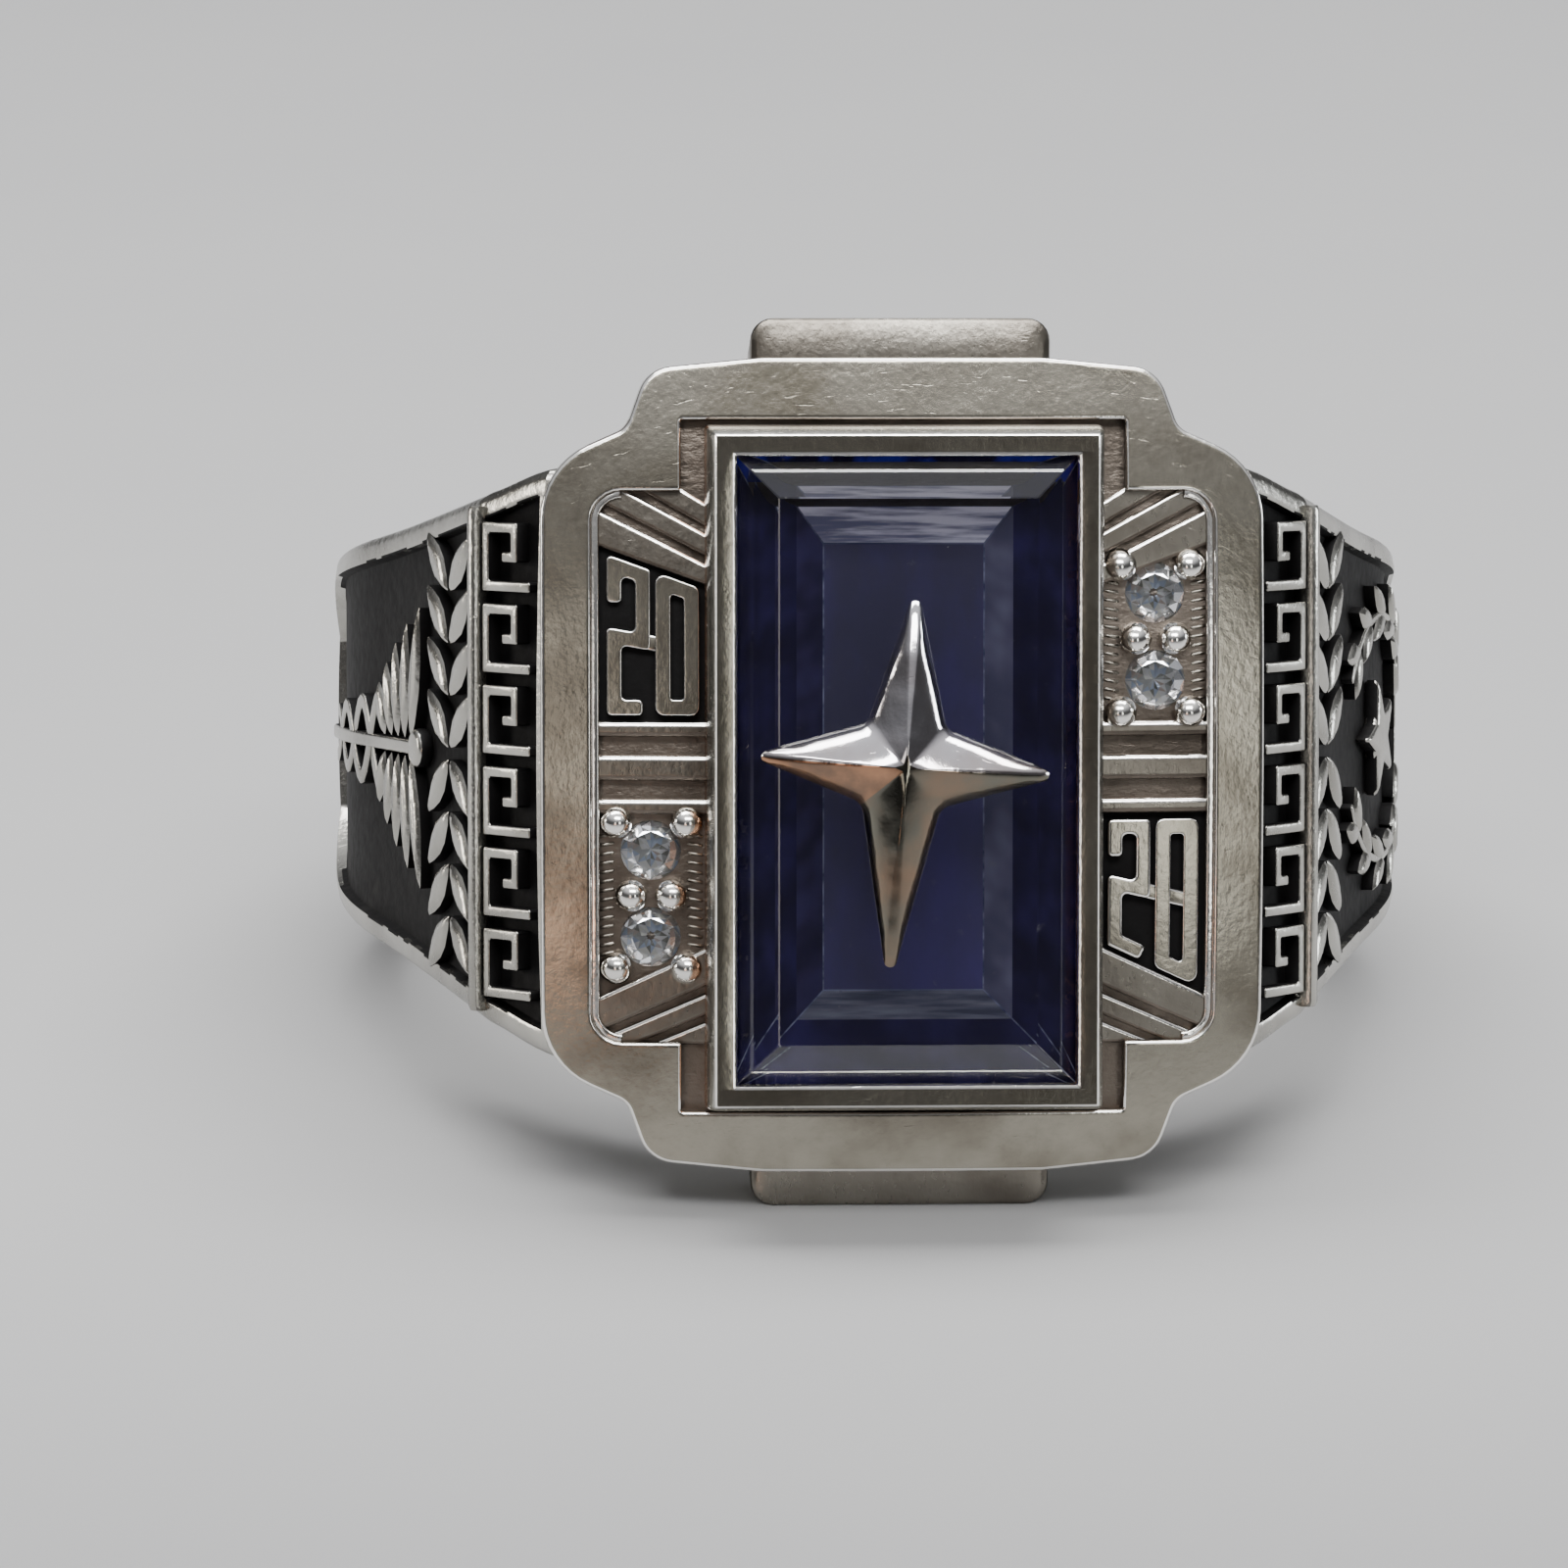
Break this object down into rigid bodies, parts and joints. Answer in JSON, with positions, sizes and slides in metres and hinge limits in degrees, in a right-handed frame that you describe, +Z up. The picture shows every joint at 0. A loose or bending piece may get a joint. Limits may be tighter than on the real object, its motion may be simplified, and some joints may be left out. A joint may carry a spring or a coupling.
{
  "type": "class ring",
  "caption": "Signet style ring with a rectangular step-cut blue stone in a box bezel, a four-pointed star, side panels with small round stones and carved shoulders.",
  "frame": {"origin": "middle of the ring's footprint on the surface that it lies on, at that surface", "axes": "+Z up, -Y the way the head faces, tipped up by the rest angle; +X to the right of someone who looks at the head"},
  "size_m": [0.0231, 0.0276, 0.0173],
  "materials": {
    "silver": "polished cast silver with black antiquing in its recesses",
    "star_silver": "high polish",
    "blue_stone": "polished, deep navy blue",
    "clear_stone": "polished, colourless"
  },
  "bodies": {
    "root": {"ring_body": "silver", "center_stone": "blue_stone", "star_emblem": "star_silver", "accent_stone_upper_right_1": "clear_stone", "accent_stone_upper_right_2": "clear_stone", "accent_stone_lower_left_1": "clear_stone", "accent_stone_lower_left_2": "clear_stone"}
  },
  "joints": []
}
